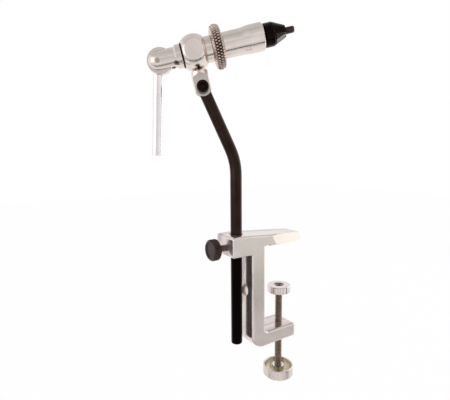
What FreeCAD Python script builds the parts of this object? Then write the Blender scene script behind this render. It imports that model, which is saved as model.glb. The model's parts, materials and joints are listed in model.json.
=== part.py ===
import FreeCAD, Part
import math
import os

os.makedirs("parts", exist_ok=True)

Vec = FreeCAD.Vector

# Millimetres. The origin is on the flat underside of the clamp's upper jaw, where the clamp
# screw's axis meets it. +X runs out along the jaw, away from the spine, and +Z is up.

# clearances
running = 0.05
face_gap = 0.06
free_gap = 0.3
cut_past = 1.0

# small bevels on turned edges
turned_bevel = 0.3
rim_bevel = 0.5

# clamp frame
clamp_width = 25.4
jaw_rise = 11.8
jaw_tip_thickness = 7.4
jaw_tip_half_width = 9.2
jaw_overhang = 17.1
throat_depth = 25.6
throat_height = 75.2
spine_thickness = 13.3
arm_thickness = 12.2
arm_overhang = 8.9
block_height = 17.0
block_back = 11.4
stem_to_spine = 7.8
outer_corner_radius = 11.0
inner_corner_radius = 4.0
edge_round = 1.8
tip_edge_radius = 2.2
armpit_radius = 1.0
slope_past_stem = 2.0
bore_bevel = 0.5
root_relief_width = 6.0
root_relief_depth = 1.4
side_taper_length = 30.7
side_taper_lean = 30.0

# screw in the back of the spine
spine_screw_diameter = 6.35
spine_screw_drop = 37.8
spine_screw_length = 9.0
button_head_diameter = 11.5
button_head_height = 2.6
button_socket = 4.0
button_socket_depth = 2.1

# clamp screw, pad and hand wheel
clamp_screw_diameter = 6.35
pad_diameter = 20.8
pad_thickness = 6.5
pad_drop = 41.1
pad_recess_diameter = 9.2
pad_screw_diameter = 4.8
pad_screw_head = 8.4
pad_screw_sink = 1.2
pad_screw_length = 12.0
pad_screw_below_rim = 0.35
pad_screw_socket = 3.0
pad_screw_socket_depth = 2.1
wheel_drop = 118.3
wheel_diameter = 27.6
wheel_height = 10.0
wheel_wall = 1.6
wheel_floor = 3.0
wheel_bevel = 1.8
wheel_lip = 0.4
boss_diameter = 10.4
boss_sink = 0.4
boss_recess_diameter = 7.6
boss_recess_depth = 0.9

# lock screw that grips the stem
lock_diameter = 5.49
lock_drop = 10.4
lock_tip_diameter = 4.5
lock_tip_head = 1.6
lock_tip_stud = 2.0
lock_tip_stud_length = 3.4
lock_tip_end_gap = 0.4
knob_diameter = 17.3
knob_thickness = 7.4
knob_gap = 6.8
knob_hub_radius = 4.6
knob_back_slope = 0.6
knob_edge = 1.0
knob_rim_width = 1.4
knob_dish = 0.7
knob_cover = 1.5

# bent stem and its liner
stem_diameter = 9.525
liner_wall = 0.8
liner_slot = 1.5
liner_inset = 0.8
stem_below_block = 78.2
bend_height = 59.7
bend_radius = 52.0
stem_lean = 24.0
upper_leg = 63.0
stem_end_round = 1.3

# where the head stands
swivel_at_rest = -30.0
head_tilt = 13.2
post_height = 27.0
post_diameter = 13.7
post_seat = 14.1
post_spigot_diameter = 6.35
post_spigot_top = 10.0
post_top_bevel = 0.6
tongue_thickness = 3.2
spot_flat = 3.5
spot_radius = 10.3
tilt_screw_diameter = 6.35
cap_head_diameter = 9.525
cap_head_height = 6.35
cap_socket = 4.76
cap_socket_depth = 3.2
tilt_screw_end_inset = 0.5

# collar that carries the turning head
collar_length = 17.4
collar_radius = 14.0
collar_end_radius = 10.6
collar_flat_radius = 7.4
collar_bore = 16.0
journal_diameter = 13.8
bush_length = 5.6
drag_screw_diameter = 2.8
drag_screw_angle = 63.0
drag_screw_place = 0.5
drag_screw_inset = 1.9
drag_screw_socket = 1.5
drag_screw_socket_depth = 1.4
drag_ring_thickness = 1.0
drag_ring_radius = 9.6

# spindle
flange_radius = 9.85
flange_length = 5.4
seat_diameter = 15.0
spindle_nose = 38.0
rod_diameter = 5.0
tail_diameter = 11.0
tail_length = 6.3
chamber_diameter = 10.6
chamber_start = 18.0
clip_groove_depth = 0.6
guide_key_depth = 1.6

# clevis and cam lever
clevis_diameter = 15.7
clevis_shoulder_radius = 9.0
clevis_shoulder_length = 5.4
slot_width = 6.5
pin_back = 28.74
pin_drop = 0.8
pin_diameter = 3.5
cam_radius = 10.05
cam_throw = 1.7
cam_throw_angle = 17.0
cam_rod_gap = 0.55
cam_side_gap = 0.15
pin_end_inset = 0.15
lever_diameter = 8.0
lever_length = 71.6
lever_angle = 15.9
lever_neck_diameter = 5.6
lever_tenon_depth = 4.0
lever_shoulder_gap = 0.7
lock_hole_diameter = 4.0
lock_hole_place = 15.0
lock_hole_angle = 42.5
notch_width = 1.0
notch_depth = 0.9
lock_hole_socket = 2.0
lock_hole_socket_depth = 1.2
lock_hole_screw_inset = 0.5

# adjusting ring
ring_radius = 16.9
ring_width = 8.2
ring_web = 2.6
ring_side_radius = 12.6
ring_rim_drop = 1.2
ring_front_drop = 2.4
ring_back_slope = 0.9
ring_front_slope = 0.7
ring_thread_radius = 9.05
clip_thickness = 0.8
clip_radius = 8.5
clip_opening = 3.0
guide_key_radius = 1.0
guide_key_place = 10.0
guide_key_rise = 0.9

# nose tube and nose cap
tube_front_radius = 10.65
tube_length = 31.7
tube_step_start = 15.5
tube_step_length = 5.0
tube_back_play = 0.5
tube_thread_length = 3.0
tube_front_bevel = 0.7
thread_runout = 0.4
cap_thread_radius = 8.1
cap_thread_length = 7.0
nose_cap_radius = 9.1
nose_cap_back_radius = 7.6
nose_cap_chamfer = 1.0
nose_cap_length = 7.9
nose_groove_width = 0.7
nose_groove_depth = 0.5
nose_cone_radius = 8.6
nose_cone_length = 9.0
nose_face_radius = 4.6
nose_bore_radius = 6.4
mouth_radius = 3.15
mouth_length = 0.8
mouth_taper = 20.0
notch_floor = 2.2
notch_back_gap = 0.4

# jaws, carrier and springs
jaw_clearance = 0.2
jaw_relief = 0.3
jaw_reach = 3.5
nub_radius = 2.6
nub_length = 7.45
nub_round_length = 1.05
jaw_split = 0.2
tang_inset = 0.8
tang_half_gap = 0.4
pivot_behind_body = 0.5
jaw_pin_diameter = 1.6
jaw_pin_offset = 2.7
jaw_tang_height = 4.0
jaw_tang_length = 7.0
carrier_radius = 6.1
carrier_back = 6.5
carrier_spigot_radius = 2.0
carrier_spigot_length = 2.5
pin_below_surface = 0.3
spring_wire = 0.9
spring_coils = 7
spring_mean_radius = 3.85
rod_flange_radius = 4.9
rod_flange_thickness = 2.0
rod_flange_start = 21.0
plug_length = 3.0
plug_inset = 0.1
spreader_wire = 0.4
spreader_coils = 4
spreader_radius = 0.9
spreader_depth = 2.2
spreader_place = 1.8
spreader_well_gap = 0.35

# places worked out from the sizes
stem_radius = stem_diameter / 2
liner_radius = stem_radius + running + liner_wall
stem_x = -(throat_depth + spine_thickness + stem_to_spine)
block_back_x = stem_x - block_back
spine_back_x = -(throat_depth + spine_thickness)
spine_front_x = -throat_depth
block_bottom = jaw_rise - block_height
arm_top = -throat_height
arm_bottom = arm_top - arm_thickness
half_width = clamp_width / 2
lock_z = jaw_rise - lock_drop
pad_bottom = -pad_drop - pad_thickness
wheel_top = -wheel_drop
wheel_bottom = wheel_top - wheel_height
bend_z = jaw_rise + bend_height
post_radius = post_diameter / 2
half_collar = collar_length / 2
journal_radius = journal_diameter / 2
clevis_front = -(half_collar + face_gap + drag_ring_thickness)
clevis_shoulder_back = clevis_front - clevis_shoulder_length
clevis_radius = clevis_diameter / 2
flange_back = half_collar + face_gap
flange_front = flange_back + flange_length
ring_back = flange_front + face_gap
ring_front = ring_back + ring_width
tube_back = ring_front + tube_back_play
tube_front = tube_back + tube_length
rod_radius = rod_diameter / 2
rod_bore = rod_radius + running
seat_radius = seat_diameter / 2
cap_back = tube_front + face_gap
cone_back = cap_back + nose_cap_length + nose_groove_width
nose_face = cone_back + nose_cone_length
mouth_back = nose_face - mouth_length
jaw_tip = nose_face + nub_length
cam_centre_x = -pin_back + cam_throw * math.cos(math.radians(cam_throw_angle))
cam_centre_z = -pin_drop + cam_throw * math.sin(math.radians(cam_throw_angle))
rod_back = -pin_back + cam_throw + cam_radius + cam_rod_gap
taper_slope = math.tan(math.radians(mouth_taper))


def box(x0, x1, y0, y1, z0, z1):
    return Part.makeBox(x1 - x0, y1 - y0, z1 - z0, Vec(x0, y0, z0))


def rod(start, end, radius):
    way = end.sub(start)
    return Part.makeCylinder(radius, way.Length, start, way)


def rod_x(x0, x1, radius, y=0, z=0):
    return rod(Vec(x0, y, z), Vec(x1, y, z), radius)


def rod_y(y0, y1, radius, x=0, z=0):
    return rod(Vec(x, y0, z), Vec(x, y1, z), radius)


def rod_z(z0, z1, radius, x=0, y=0):
    return rod(Vec(x, y, z0), Vec(x, y, z1), radius)


def turned_x(profile):
    # a closed outline of (x, radius) points, turned about the X axis
    points = [Vec(x, 0, r) for x, r in profile]
    face = Part.Face(Part.makePolygon(points + points[:1]))
    return face.revolve(Vec(0, 0, 0), Vec(1, 0, 0), 360)


def turned_z(profile, x=0, y=0):
    # a closed outline of (radius, z) points, turned about an upright axis
    points = [Vec(x + r, y, z) for r, z in profile]
    face = Part.Face(Part.makePolygon(points + points[:1]))
    return face.revolve(Vec(x, y, 0), Vec(0, 0, 1), 360)


def ring_x(x0, x1, inner, outer):
    return rod_x(x0, x1, outer).cut(rod_x(x0, x1, inner))


def hex_prism(centre, axis, flat, depth):
    # a hexagonal hole of the given width across flats, sunk along the axis
    corner = flat / math.sqrt(3)
    turn = FreeCAD.Rotation(Vec(0, 0, 1), axis)
    points = []
    for i in range(7):
        angle = math.radians(60 * i)
        flat_point = Vec(corner * math.cos(angle), corner * math.sin(angle), 0)
        points.append(centre.add(turn.multVec(flat_point)))
    return Part.Face(Part.makePolygon(points)).extrude(Vec(axis).normalize().multiply(depth))


def edges_along(shape, way, test):
    # straight edges that run along the given direction and whose middle passes the test
    found = []
    for edge in shape.Edges:
        if not isinstance(edge.Curve, Part.Line):
            continue
        if edge.tangentAt(edge.FirstParameter).cross(way).Length > 1e-6:
            continue
        if test(edge.CenterOfMass):
            found.append(edge)
    return found


def near(a, b):
    return abs(a - b) < 0.01


def coil_x(x0, x1, mean_radius, wire_radius, coils):
    # an open helical spring along the X axis
    pitch = (x1 - x0 - 2 * wire_radius) / coils
    helix = Part.makeHelix(pitch, pitch * coils, mean_radius)
    helix.rotate(Vec(0, 0, 0), Vec(0, 1, 0), 90)
    helix.translate(Vec(x0 + wire_radius, 0, 0))
    path = Part.Wire(helix.Edges)
    first = path.Edges[0]
    start = first.valueAt(first.FirstParameter)
    way = first.tangentAt(first.FirstParameter)
    section = Part.Wire([Part.makeCircle(wire_radius, start, way)])
    return path.makePipeShell([section], True, True)


def save(name, shape):
    if shape.ShapeType == "Compound" and len(shape.Solids) == 1:
        shape = shape.Solids[0]
    shape.exportStep("parts/%s.step" % name)


def plane_point(along, height):
    # a point of the upright plane that the stem bends in, from its distance to the stem axis
    swivel = math.radians(swivel_at_rest)
    return Vec(stem_x + along * math.cos(swivel), along * math.sin(swivel), height)


def pivot_place():
    lean = math.radians(stem_lean)
    return (-upper_leg * math.sin(lean), bend_z + upper_leg * math.cos(lean))


def head_origin():
    # the collar's centre, in the stem's bending plane
    along, height = pivot_place()
    tilt = math.radians(head_tilt)
    return (along - post_height * math.sin(tilt), height + post_height * math.cos(tilt))


def place_head(shape):
    # from the head's own frame, +X towards the jaws and +Z square to it, to its place
    along, height = head_origin()
    placed = shape.copy()
    placed.rotate(Vec(0, 0, 0), Vec(0, 1, 0), -head_tilt)
    placed.rotate(Vec(0, 0, 0), Vec(0, 0, 1), swivel_at_rest)
    placed.translate(plane_point(along, height))
    return placed


def save_head(name, shape):
    save(name, place_head(shape))


def clamp_frame():
    jaw_tip_x = jaw_overhang
    slope_start = stem_x + slope_past_stem
    outline = [
        (block_back_x, jaw_rise), (slope_start, jaw_rise), (jaw_tip_x, jaw_tip_thickness), (jaw_tip_x, 0),
        (spine_front_x, 0), (spine_front_x, arm_top), (arm_overhang, arm_top), (arm_overhang, arm_bottom),
        (spine_back_x, arm_bottom), (spine_back_x, block_bottom), (block_back_x, block_bottom),
    ]
    points = [Vec(x, -half_width, z) for x, z in outline]
    frame = Part.Face(Part.makePolygon(points + points[:1])).extrude(Vec(0, clamp_width, 0))
    across = Vec(0, 1, 0)
    outer = edges_along(frame, across, lambda c: near(c.x, spine_back_x) and near(c.z, arm_bottom))
    frame = frame.makeFillet(min(outer_corner_radius, 0.9 * spine_thickness, 0.9 * arm_thickness), outer)
    inner = edges_along(frame, across, lambda c: near(c.x, spine_front_x) and near(c.z, arm_top))
    frame = frame.makeFillet(inner_corner_radius, inner)
    armpit = edges_along(frame, across, lambda c: near(c.x, spine_back_x) and near(c.z, block_bottom))
    frame = frame.makeFillet(armpit_radius, armpit)
    ends = (arm_overhang, jaw_tip_x, block_back_x)
    tips = edges_along(frame, across, lambda c: any(near(c.x, end) for end in ends))
    frame = frame.makeFillet(tip_edge_radius, tips)
    sides = [e for e in frame.Edges if near(abs(e.CenterOfMass.y), half_width)]
    frame = frame.makeFillet(edge_round, sides)
    frame = frame.cut(side_taper(1)).cut(side_taper(-1))
    frame = frame.cut(box(spine_front_x, spine_front_x + root_relief_width, -clamp_width, clamp_width,
                          -cut_past, root_relief_depth))
    bore = liner_radius + running
    frame = frame.cut(rod_z(block_bottom - cut_past, jaw_rise + cut_past, bore, stem_x))
    frame = frame.cut(Part.makeCone(bore, bore + 2 * bore_bevel, 2 * bore_bevel,
                                    Vec(stem_x, 0, jaw_rise - bore_bevel)))
    frame = frame.cut(rod_x(block_back_x - cut_past, stem_x, lock_diameter / 2 + running, 0, lock_z))
    frame = frame.cut(rod_z(arm_bottom - cut_past, arm_top + cut_past, clamp_screw_diameter / 2 + running))
    return frame.cut(rod_x(spine_back_x - cut_past, spine_back_x + spine_screw_length,
                           spine_screw_diameter / 2, 0, -spine_screw_drop))


def side_taper(side):
    # a wedge off each side of the jaw, which narrows towards its tip and leans in at the top
    slope = (half_width - jaw_tip_half_width) / side_taper_length
    end_x = jaw_overhang + cut_past
    outside = half_width + clamp_width
    wires = []
    for height in (-cut_past, jaw_rise + cut_past):
        start_x = jaw_overhang - side_taper_length - height * math.tan(math.radians(side_taper_lean))
        end_y = half_width - slope * (end_x - start_x)
        outline = [(start_x, half_width), (start_x, outside), (end_x, outside), (end_x, end_y)]
        points = [Vec(x, side * y, height) for x, y in outline]
        wires.append(Part.makePolygon(points + points[:1]))
    return Part.makeLoft(wires, True, True)


def spine_screw():
    z = -spine_screw_drop
    head_radius = button_head_diameter / 2
    sagitta = button_head_height
    dome_radius = (head_radius ** 2 + sagitta ** 2) / (2 * sagitta)
    ball = Part.makeSphere(dome_radius, Vec(spine_back_x - sagitta + dome_radius, 0, z))
    top_x = spine_back_x - sagitta
    head = ball.common(rod_x(top_x - cut_past, spine_back_x, head_radius, 0, z))
    socket = hex_prism(Vec(top_x - cut_past, 0, z), Vec(1, 0, 0), button_socket,
                       button_socket_depth + cut_past)
    shank = rod_x(spine_back_x, spine_back_x + spine_screw_length - free_gap, spine_screw_diameter / 2, 0, z)
    return head.cut(socket).fuse(shank).removeSplitter()


def clamp_pad():
    radius = pad_diameter / 2
    top = -pad_drop
    pad = rod_z(pad_bottom, top, radius)
    rims = [e for e in pad.Edges if isinstance(e.Curve, Part.Circle)]
    pad = pad.makeChamfer(rim_bevel, rims)
    recess = pad_recess_diameter / 2
    shank = pad_screw_diameter / 2 + running
    cone_bottom = top - pad_screw_sink - (recess - shank)
    return pad.cut(turned_z([
        (0, top + cut_past), (recess, top + cut_past), (recess, top - pad_screw_sink),
        (shank, cone_bottom), (shank, pad_bottom - cut_past), (0, pad_bottom - cut_past),
    ]))


def pad_screw_top():
    return -pad_drop - pad_screw_sink - pad_screw_below_rim


def pad_screw():
    # a countersunk screw through the pad into the end of the clamp screw
    top = pad_screw_top()
    head = pad_screw_head / 2
    shank = pad_screw_diameter / 2
    screw = turned_z([(0, top), (head, top), (shank, top - (head - shank)),
                      (shank, top - pad_screw_length), (0, top - pad_screw_length)])
    return screw.cut(hex_prism(Vec(0, 0, top + cut_past), Vec(0, 0, -1), pad_screw_socket,
                               pad_screw_socket_depth + cut_past))


def clamp_screw():
    screw = rod_z(wheel_bottom, pad_bottom - face_gap, clamp_screw_diameter / 2)
    return screw.cut(rod_z(pad_screw_top() - pad_screw_length, -pad_drop, pad_screw_diameter / 2))


def hand_wheel():
    radius = wheel_diameter / 2
    inner = radius - wheel_wall
    floor = wheel_bottom + wheel_floor
    boss_top = wheel_top - boss_sink
    boss = boss_diameter / 2
    bore = clamp_screw_diameter / 2
    recess = boss_recess_diameter / 2
    return turned_z([
        (bore, wheel_bottom), (radius - wheel_bevel, wheel_bottom), (radius, wheel_bottom + wheel_bevel),
        (radius, wheel_top - wheel_lip), (radius - wheel_lip, wheel_top), (inner + wheel_lip, wheel_top),
        (inner, wheel_top - wheel_lip), (inner, floor), (boss, floor), (boss, boss_top),
        (recess, boss_top), (recess, boss_top - boss_recess_depth), (bore, boss_top - boss_recess_depth),
    ])


def lock_front_x():
    # where the lock screw's tip meets the liner
    return stem_x - liner_radius - face_gap


def lock_tip():
    front = lock_front_x()
    head = rod_x(front - lock_tip_head, front, lock_tip_diameter / 2, 0, lock_z)
    round_seat = rod_z(lock_z - lock_diameter, lock_z + lock_diameter, liner_radius + face_gap, stem_x)
    stud = rod_x(front - lock_tip_head - lock_tip_stud_length, front - lock_tip_head,
                 lock_tip_stud / 2, 0, lock_z)
    return head.cut(round_seat).fuse(stud).removeSplitter()


def lock_screw():
    front = lock_front_x() - lock_tip_head - face_gap
    back = block_back_x - knob_gap - knob_thickness + knob_cover
    screw = rod_x(back, front, lock_diameter / 2, 0, lock_z)
    hole_end = front - lock_tip_stud_length - lock_tip_end_gap
    return screw.cut(rod_x(hole_end, front + cut_past, lock_tip_stud / 2 + running, 0, lock_z))


def lock_knob():
    inner_x = block_back_x - knob_gap
    outer_x = inner_x - knob_thickness
    radius = knob_diameter / 2
    face_radius = radius - knob_edge
    back_x = inner_x - knob_back_slope
    dish_radius = face_radius - knob_rim_width
    dish_x = outer_x + knob_dish
    knob = turned_x([
        (inner_x, 0), (inner_x, knob_hub_radius), (back_x, face_radius), (back_x - knob_edge, radius),
        (outer_x + knob_edge, radius), (outer_x, face_radius), (outer_x, dish_radius),
        (dish_x, dish_radius - knob_dish), (dish_x, 0),
    ])
    knob.translate(Vec(0, 0, lock_z))
    return knob.cut(rod_x(outer_x + knob_cover, inner_x + cut_past, lock_diameter / 2, 0, lock_z))


def stem_liner():
    top = jaw_rise - liner_inset
    bottom = block_bottom + liner_inset
    sleeve = rod_z(bottom, top, liner_radius, stem_x)
    sleeve = sleeve.cut(rod_z(bottom - cut_past, top + cut_past, stem_radius + running, stem_x))
    half_slot = liner_slot / 2
    return sleeve.cut(box(stem_x, stem_x + 2 * liner_radius, -half_slot, half_slot,
                          bottom - cut_past, top + cut_past))


def stem_path():
    half_turn = math.radians(stem_lean / 2)
    tangent = bend_radius * math.tan(half_turn)
    lean = math.radians(stem_lean)
    low = plane_point(0, block_bottom - stem_below_block)
    bend_start = plane_point(0, bend_z - tangent)
    bend_end = plane_point(-tangent * math.sin(lean), bend_z + tangent * math.cos(lean))
    middle_along = -bend_radius * (1 - math.cos(half_turn))
    middle_height = bend_z - tangent + bend_radius * math.sin(half_turn)
    top_length = upper_leg + stem_radius
    top = plane_point(-top_length * math.sin(lean), bend_z + top_length * math.cos(lean))
    lower = Part.LineSegment(low, bend_start).toShape()
    bend = Part.Arc(bend_start, plane_point(middle_along, middle_height), bend_end).toShape()
    upper = Part.LineSegment(bend_end, top).toShape()
    return Part.Wire([lower, bend, upper])


def pivot_rod(y0, y1, radius):
    # a rod along the tilt axis, in the head's frame
    return rod_y(y0, y1, radius, 0, -post_height)


def leaned_box(low, high):
    # a slab square to the upper leg of the stem, measured from the pivot along that leg
    wide = 3 * post_diameter
    slab = box(-wide, wide, -wide, wide, low, high)
    slab.rotate(Vec(0, 0, 0), Vec(0, 1, 0), -(stem_lean - head_tilt))
    slab.translate(Vec(0, 0, -post_height))
    return slab


def stem():
    path = stem_path()
    low = plane_point(0, block_bottom - stem_below_block)
    section = Part.Wire([Part.makeCircle(stem_radius, low, Vec(0, 0, 1))])
    body = path.makePipeShell([section], True, False)
    foot = [e for e in body.Edges if isinstance(e.Curve, Part.Circle) and near(e.CenterOfMass.z, low.z)]
    body = body.makeFillet(stem_end_round, foot)
    # both sides are cut away around the post's ears, which leaves a tongue with a round end
    wide = 3 * post_diameter
    half = tongue_thickness / 2
    ear_space = post_radius + free_gap
    round_end = pivot_rod(-wide, wide, stem_radius)
    body = body.cut(place_head(pivot_rod(-wide, -half, ear_space)))
    body = body.cut(place_head(pivot_rod(half, wide, ear_space)))
    body = body.cut(place_head(leaned_box(0, wide).cut(round_end)))
    return body.cut(place_head(pivot_rod(-wide, wide, tilt_screw_diameter / 2 + running)))


def tilt_screw():
    seat = -spot_flat
    top = seat - cap_head_height
    shank = pivot_rod(seat, post_radius - tilt_screw_end_inset, tilt_screw_diameter / 2)
    head = pivot_rod(top, seat, cap_head_diameter / 2)
    rim = [e for e in head.Edges if isinstance(e.Curve, Part.Circle) and near(e.CenterOfMass.y, top)]
    head = head.makeChamfer(rim_bevel, rim)
    socket = hex_prism(Vec(0, top - cut_past, -post_height), Vec(0, 1, 0), cap_socket,
                       cap_socket_depth + cut_past)
    return head.cut(socket).fuse(shank).removeSplitter()


def head_post():
    # an upright with a round lower end, slotted into two ears
    lug = rod_y(-post_radius, post_radius, post_radius, 0, -post_height)
    shaft = rod_z(-post_height, -post_seat, post_radius)
    circles = [e for e in shaft.Edges if isinstance(e.Curve, Part.Circle)]
    top_rim = [e for e in circles if near(e.CenterOfMass.z, -post_seat)]
    shaft = shaft.makeChamfer(post_top_bevel, top_rim)
    round_lug = lug.common(rod_z(-post_height - post_radius, -post_height, post_radius))
    spigot = rod_z(-post_seat, -post_spigot_top, post_spigot_diameter / 2)
    post = shaft.fuse(round_lug).fuse(spigot).removeSplitter()
    wide = 2 * post_diameter
    half_slot = tongue_thickness / 2 + face_gap
    slot_top = -post_height + stem_radius + free_gap
    post = post.cut(box(-wide, wide, -half_slot, half_slot, -post_height - wide, slot_top))
    post = post.cut(pivot_rod(-wide, -spot_flat, spot_radius))
    post = post.cut(pivot_rod(-wide, 0, tilt_screw_diameter / 2 + running))
    return post.cut(pivot_rod(0, wide, tilt_screw_diameter / 2))


def drag_screw_point(radius):
    # a point on the axis of the small screw that bears on the spindle
    angle = math.radians(drag_screw_angle)
    return Vec(drag_screw_place, -radius * math.cos(angle), -radius * math.sin(angle))


def collar():
    # a ball turned off square at both ends, with a flat on each side
    arc = Part.Arc(Vec(-half_collar, 0, collar_end_radius), Vec(0, 0, collar_radius),
                   Vec(half_collar, 0, collar_end_radius)).toShape()
    low = Part.makePolygon([Vec(half_collar, 0, collar_end_radius), Vec(half_collar, 0, 0),
                            Vec(-half_collar, 0, 0), Vec(-half_collar, 0, collar_end_radius)])
    face = Part.Face(Part.Wire([arc] + low.Edges))
    ball = face.revolve(Vec(0, 0, 0), Vec(1, 0, 0), 360)
    flat = math.sqrt(collar_radius ** 2 - collar_flat_radius ** 2)
    far = 2 * collar_radius
    ball = ball.common(box(-half_collar, half_collar, -flat, flat, -far, far))
    ends = [e for e in ball.Edges if isinstance(e.Curve, Part.Circle)
            and near(abs(e.CenterOfMass.x), half_collar)]
    ball = ball.makeChamfer(turned_bevel, ends)
    ball = ball.cut(rod_x(-half_collar - cut_past, half_collar + cut_past, collar_bore / 2))
    ball = ball.cut(rod_z(-far, -post_seat, post_radius + face_gap))
    ball = ball.cut(rod_z(-far, -post_spigot_top, post_spigot_diameter / 2))
    return ball.cut(rod(drag_screw_point(journal_radius), drag_screw_point(far), drag_screw_diameter / 2))


def collar_bush(side):
    outer = half_collar * side
    inner = (half_collar - bush_length) * side
    return ring_x(min(outer, inner), max(outer, inner), journal_radius + running, collar_bore / 2)


def drag_screw():
    start = drag_screw_point(journal_radius + face_gap)
    end = drag_screw_point(collar_radius - drag_screw_inset)
    screw = rod(start, end, drag_screw_diameter / 2)
    above = drag_screw_point(collar_radius - drag_screw_inset + cut_past)
    return screw.cut(hex_prism(above, start.sub(end), drag_screw_socket, drag_screw_socket_depth + cut_past))


def drag_ring():
    # a soft ring between the collar and the clevis, which steadies the turning head
    back = clevis_front
    front = -half_collar - face_gap
    return ring_x(back, front, journal_radius, drag_ring_radius)


def spindle():
    nose = spindle_nose
    tail = clevis_front - tail_length
    seat = seat_radius
    bevel = turned_bevel
    body = turned_x([
        (tail, 0), (tail, tail_diameter / 2), (clevis_front, tail_diameter / 2),
        (clevis_front, journal_radius), (flange_back, journal_radius), (flange_back, flange_radius - bevel),
        (flange_back + bevel, flange_radius), (flange_front - bevel, flange_radius),
        (flange_front, flange_radius - bevel), (flange_front, seat), (nose - rim_bevel, seat),
        (nose, seat - rim_bevel), (nose, 0),
    ])
    body = body.cut(rod_x(tail - cut_past, nose + cut_past, rod_bore))
    body = body.cut(rod_x(chamber_start, nose + cut_past, chamber_diameter / 2))
    clip_end = clip_start() + clip_thickness
    body = body.cut(ring_x(clip_start(), clip_end, seat - clip_groove_depth, seat + cut_past))
    return body.cut(rod_z(seat - guide_key_depth, seat + cut_past, guide_key_radius, key_place()))


def key_place():
    return tube_back + guide_key_place


def clip_start():
    return ring_back + ring_web + face_gap


def guide_key():
    # a dowel in the spindle that runs in a groove of the nose tube
    bottom = seat_radius - guide_key_depth
    return rod_z(bottom, seat_radius + guide_key_rise, guide_key_radius, key_place())


def clevis():
    dome_centre = -pin_back
    shoulder = clevis_shoulder_radius
    bevel = turned_bevel
    body = turned_x([
        (dome_centre, 0), (dome_centre, clevis_radius), (clevis_shoulder_back, clevis_radius),
        (clevis_shoulder_back + shoulder - clevis_radius, shoulder), (clevis_front - bevel, shoulder),
        (clevis_front, shoulder - bevel), (clevis_front, 0),
    ])
    dome = Part.makeSphere(clevis_radius, Vec(dome_centre, 0, 0))
    body = body.fuse(dome).removeSplitter()
    slot_front = -pin_back + cam_throw + cam_radius + free_gap
    wide = 2 * clevis_diameter
    half_slot = slot_width / 2
    body = body.cut(box(-pin_back - wide, slot_front, -half_slot, half_slot, -wide, wide))
    body = body.cut(rod_x(slot_front - cut_past, clevis_front + cut_past, tail_diameter / 2))
    body = body.cut(rod_y(-wide, wide, pin_diameter / 2 + running, -pin_back, -pin_drop))
    hole = rod(clevis_screw_point(0), clevis_screw_point(clevis_diameter), lock_hole_diameter / 2)
    return body.cut(hole).cut(clevis_notch())


def clevis_screw_point(radius):
    # a point on the axis of the screw that holds the clevis on the spindle
    angle = math.radians(lock_hole_angle)
    return Vec(-lock_hole_place, -radius * math.cos(angle), -radius * math.sin(angle))


def clevis_notch():
    # a small saw cut from the screw hole to the clevis's front edge
    half = notch_width / 2
    cut = box(-lock_hole_place, clevis_front + cut_past, -half, half, -2 * clevis_shoulder_radius,
              -clevis_shoulder_radius + notch_depth)
    cut.rotate(Vec(0, 0, 0), Vec(1, 0, 0), -(90 - lock_hole_angle))
    return cut


def clevis_screw():
    start = clevis_screw_point(tail_diameter / 2)
    end = clevis_screw_point(clevis_radius - lock_hole_screw_inset)
    screw = rod(start, end, lock_hole_diameter / 2)
    above = clevis_screw_point(clevis_radius - lock_hole_screw_inset + cut_past)
    return screw.cut(hex_prism(above, start.sub(end), lock_hole_socket, lock_hole_socket_depth + cut_past))


def cam_pin():
    half_length = math.sqrt(clevis_radius ** 2 - pin_drop ** 2) - pin_end_inset
    return rod_y(-half_length, half_length, pin_diameter / 2, -pin_back, -pin_drop)


def lever_way():
    angle = math.radians(lever_angle)
    return Vec(-math.sin(angle), 0, -math.cos(angle))


def lever_point(distance):
    return Vec(-pin_back, 0, -pin_drop).add(lever_way().multiply(distance))


def tenon_end():
    # how near the pin the lever's neck reaches into the cam
    return cam_radius - cam_throw - lever_tenon_depth


def cam_disc():
    half = slot_width / 2 - cam_side_gap
    disc = rod_y(-half, half, cam_radius, cam_centre_x, cam_centre_z)
    rims = [e for e in disc.Edges if isinstance(e.Curve, Part.Circle)]
    disc = disc.makeChamfer(turned_bevel, rims)
    pin_hole = pin_diameter / 2 + running
    disc = disc.cut(rod_y(-half - cut_past, half + cut_past, pin_hole, -pin_back, -pin_drop))
    return disc.cut(rod(lever_point(tenon_end()), lever_point(2 * cam_radius), lever_neck_diameter / 2))


def lever_shoulder():
    # just outside both the cam's rim and the clevis, measured from the pin
    return max(cam_radius - cam_throw, clevis_radius + pin_drop) + lever_shoulder_gap


def lever_rod():
    neck = rod(lever_point(tenon_end()), lever_point(lever_shoulder() + cut_past), lever_neck_diameter / 2)
    bar = rod(lever_point(lever_shoulder()), lever_point(lever_length), lever_diameter / 2)
    rims = [e for e in bar.Edges if isinstance(e.Curve, Part.Circle)]
    bar = bar.makeChamfer(rim_bevel, rims)
    return bar.fuse(neck).removeSplitter()


def adjust_ring():
    # a web turning on the spindle, and a crowned rim around the nose tube's thread
    inner = seat_radius + running
    rim_end = ring_radius - ring_rim_drop
    rim_back = Vec(ring_back + ring_back_slope, 0, rim_end)
    rim_front = Vec(ring_front - ring_front_slope, 0, rim_end)
    crown = Part.Arc(rim_back, Vec((rim_back.x + rim_front.x) / 2, 0, ring_radius), rim_front).toShape()
    section = [
        (ring_front, ring_radius - ring_front_drop), (ring_front, ring_thread_radius),
        (ring_back + ring_web, ring_thread_radius), (ring_back + ring_web, inner),
        (ring_back, inner), (ring_back, ring_side_radius),
    ]
    corners = [rim_front] + [Vec(x, 0, r) for x, r in section] + [rim_back]
    face = Part.Face(Part.Wire([crown] + Part.makePolygon(corners).Edges))
    return face.revolve(Vec(0, 0, 0), Vec(1, 0, 0), 360)


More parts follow.
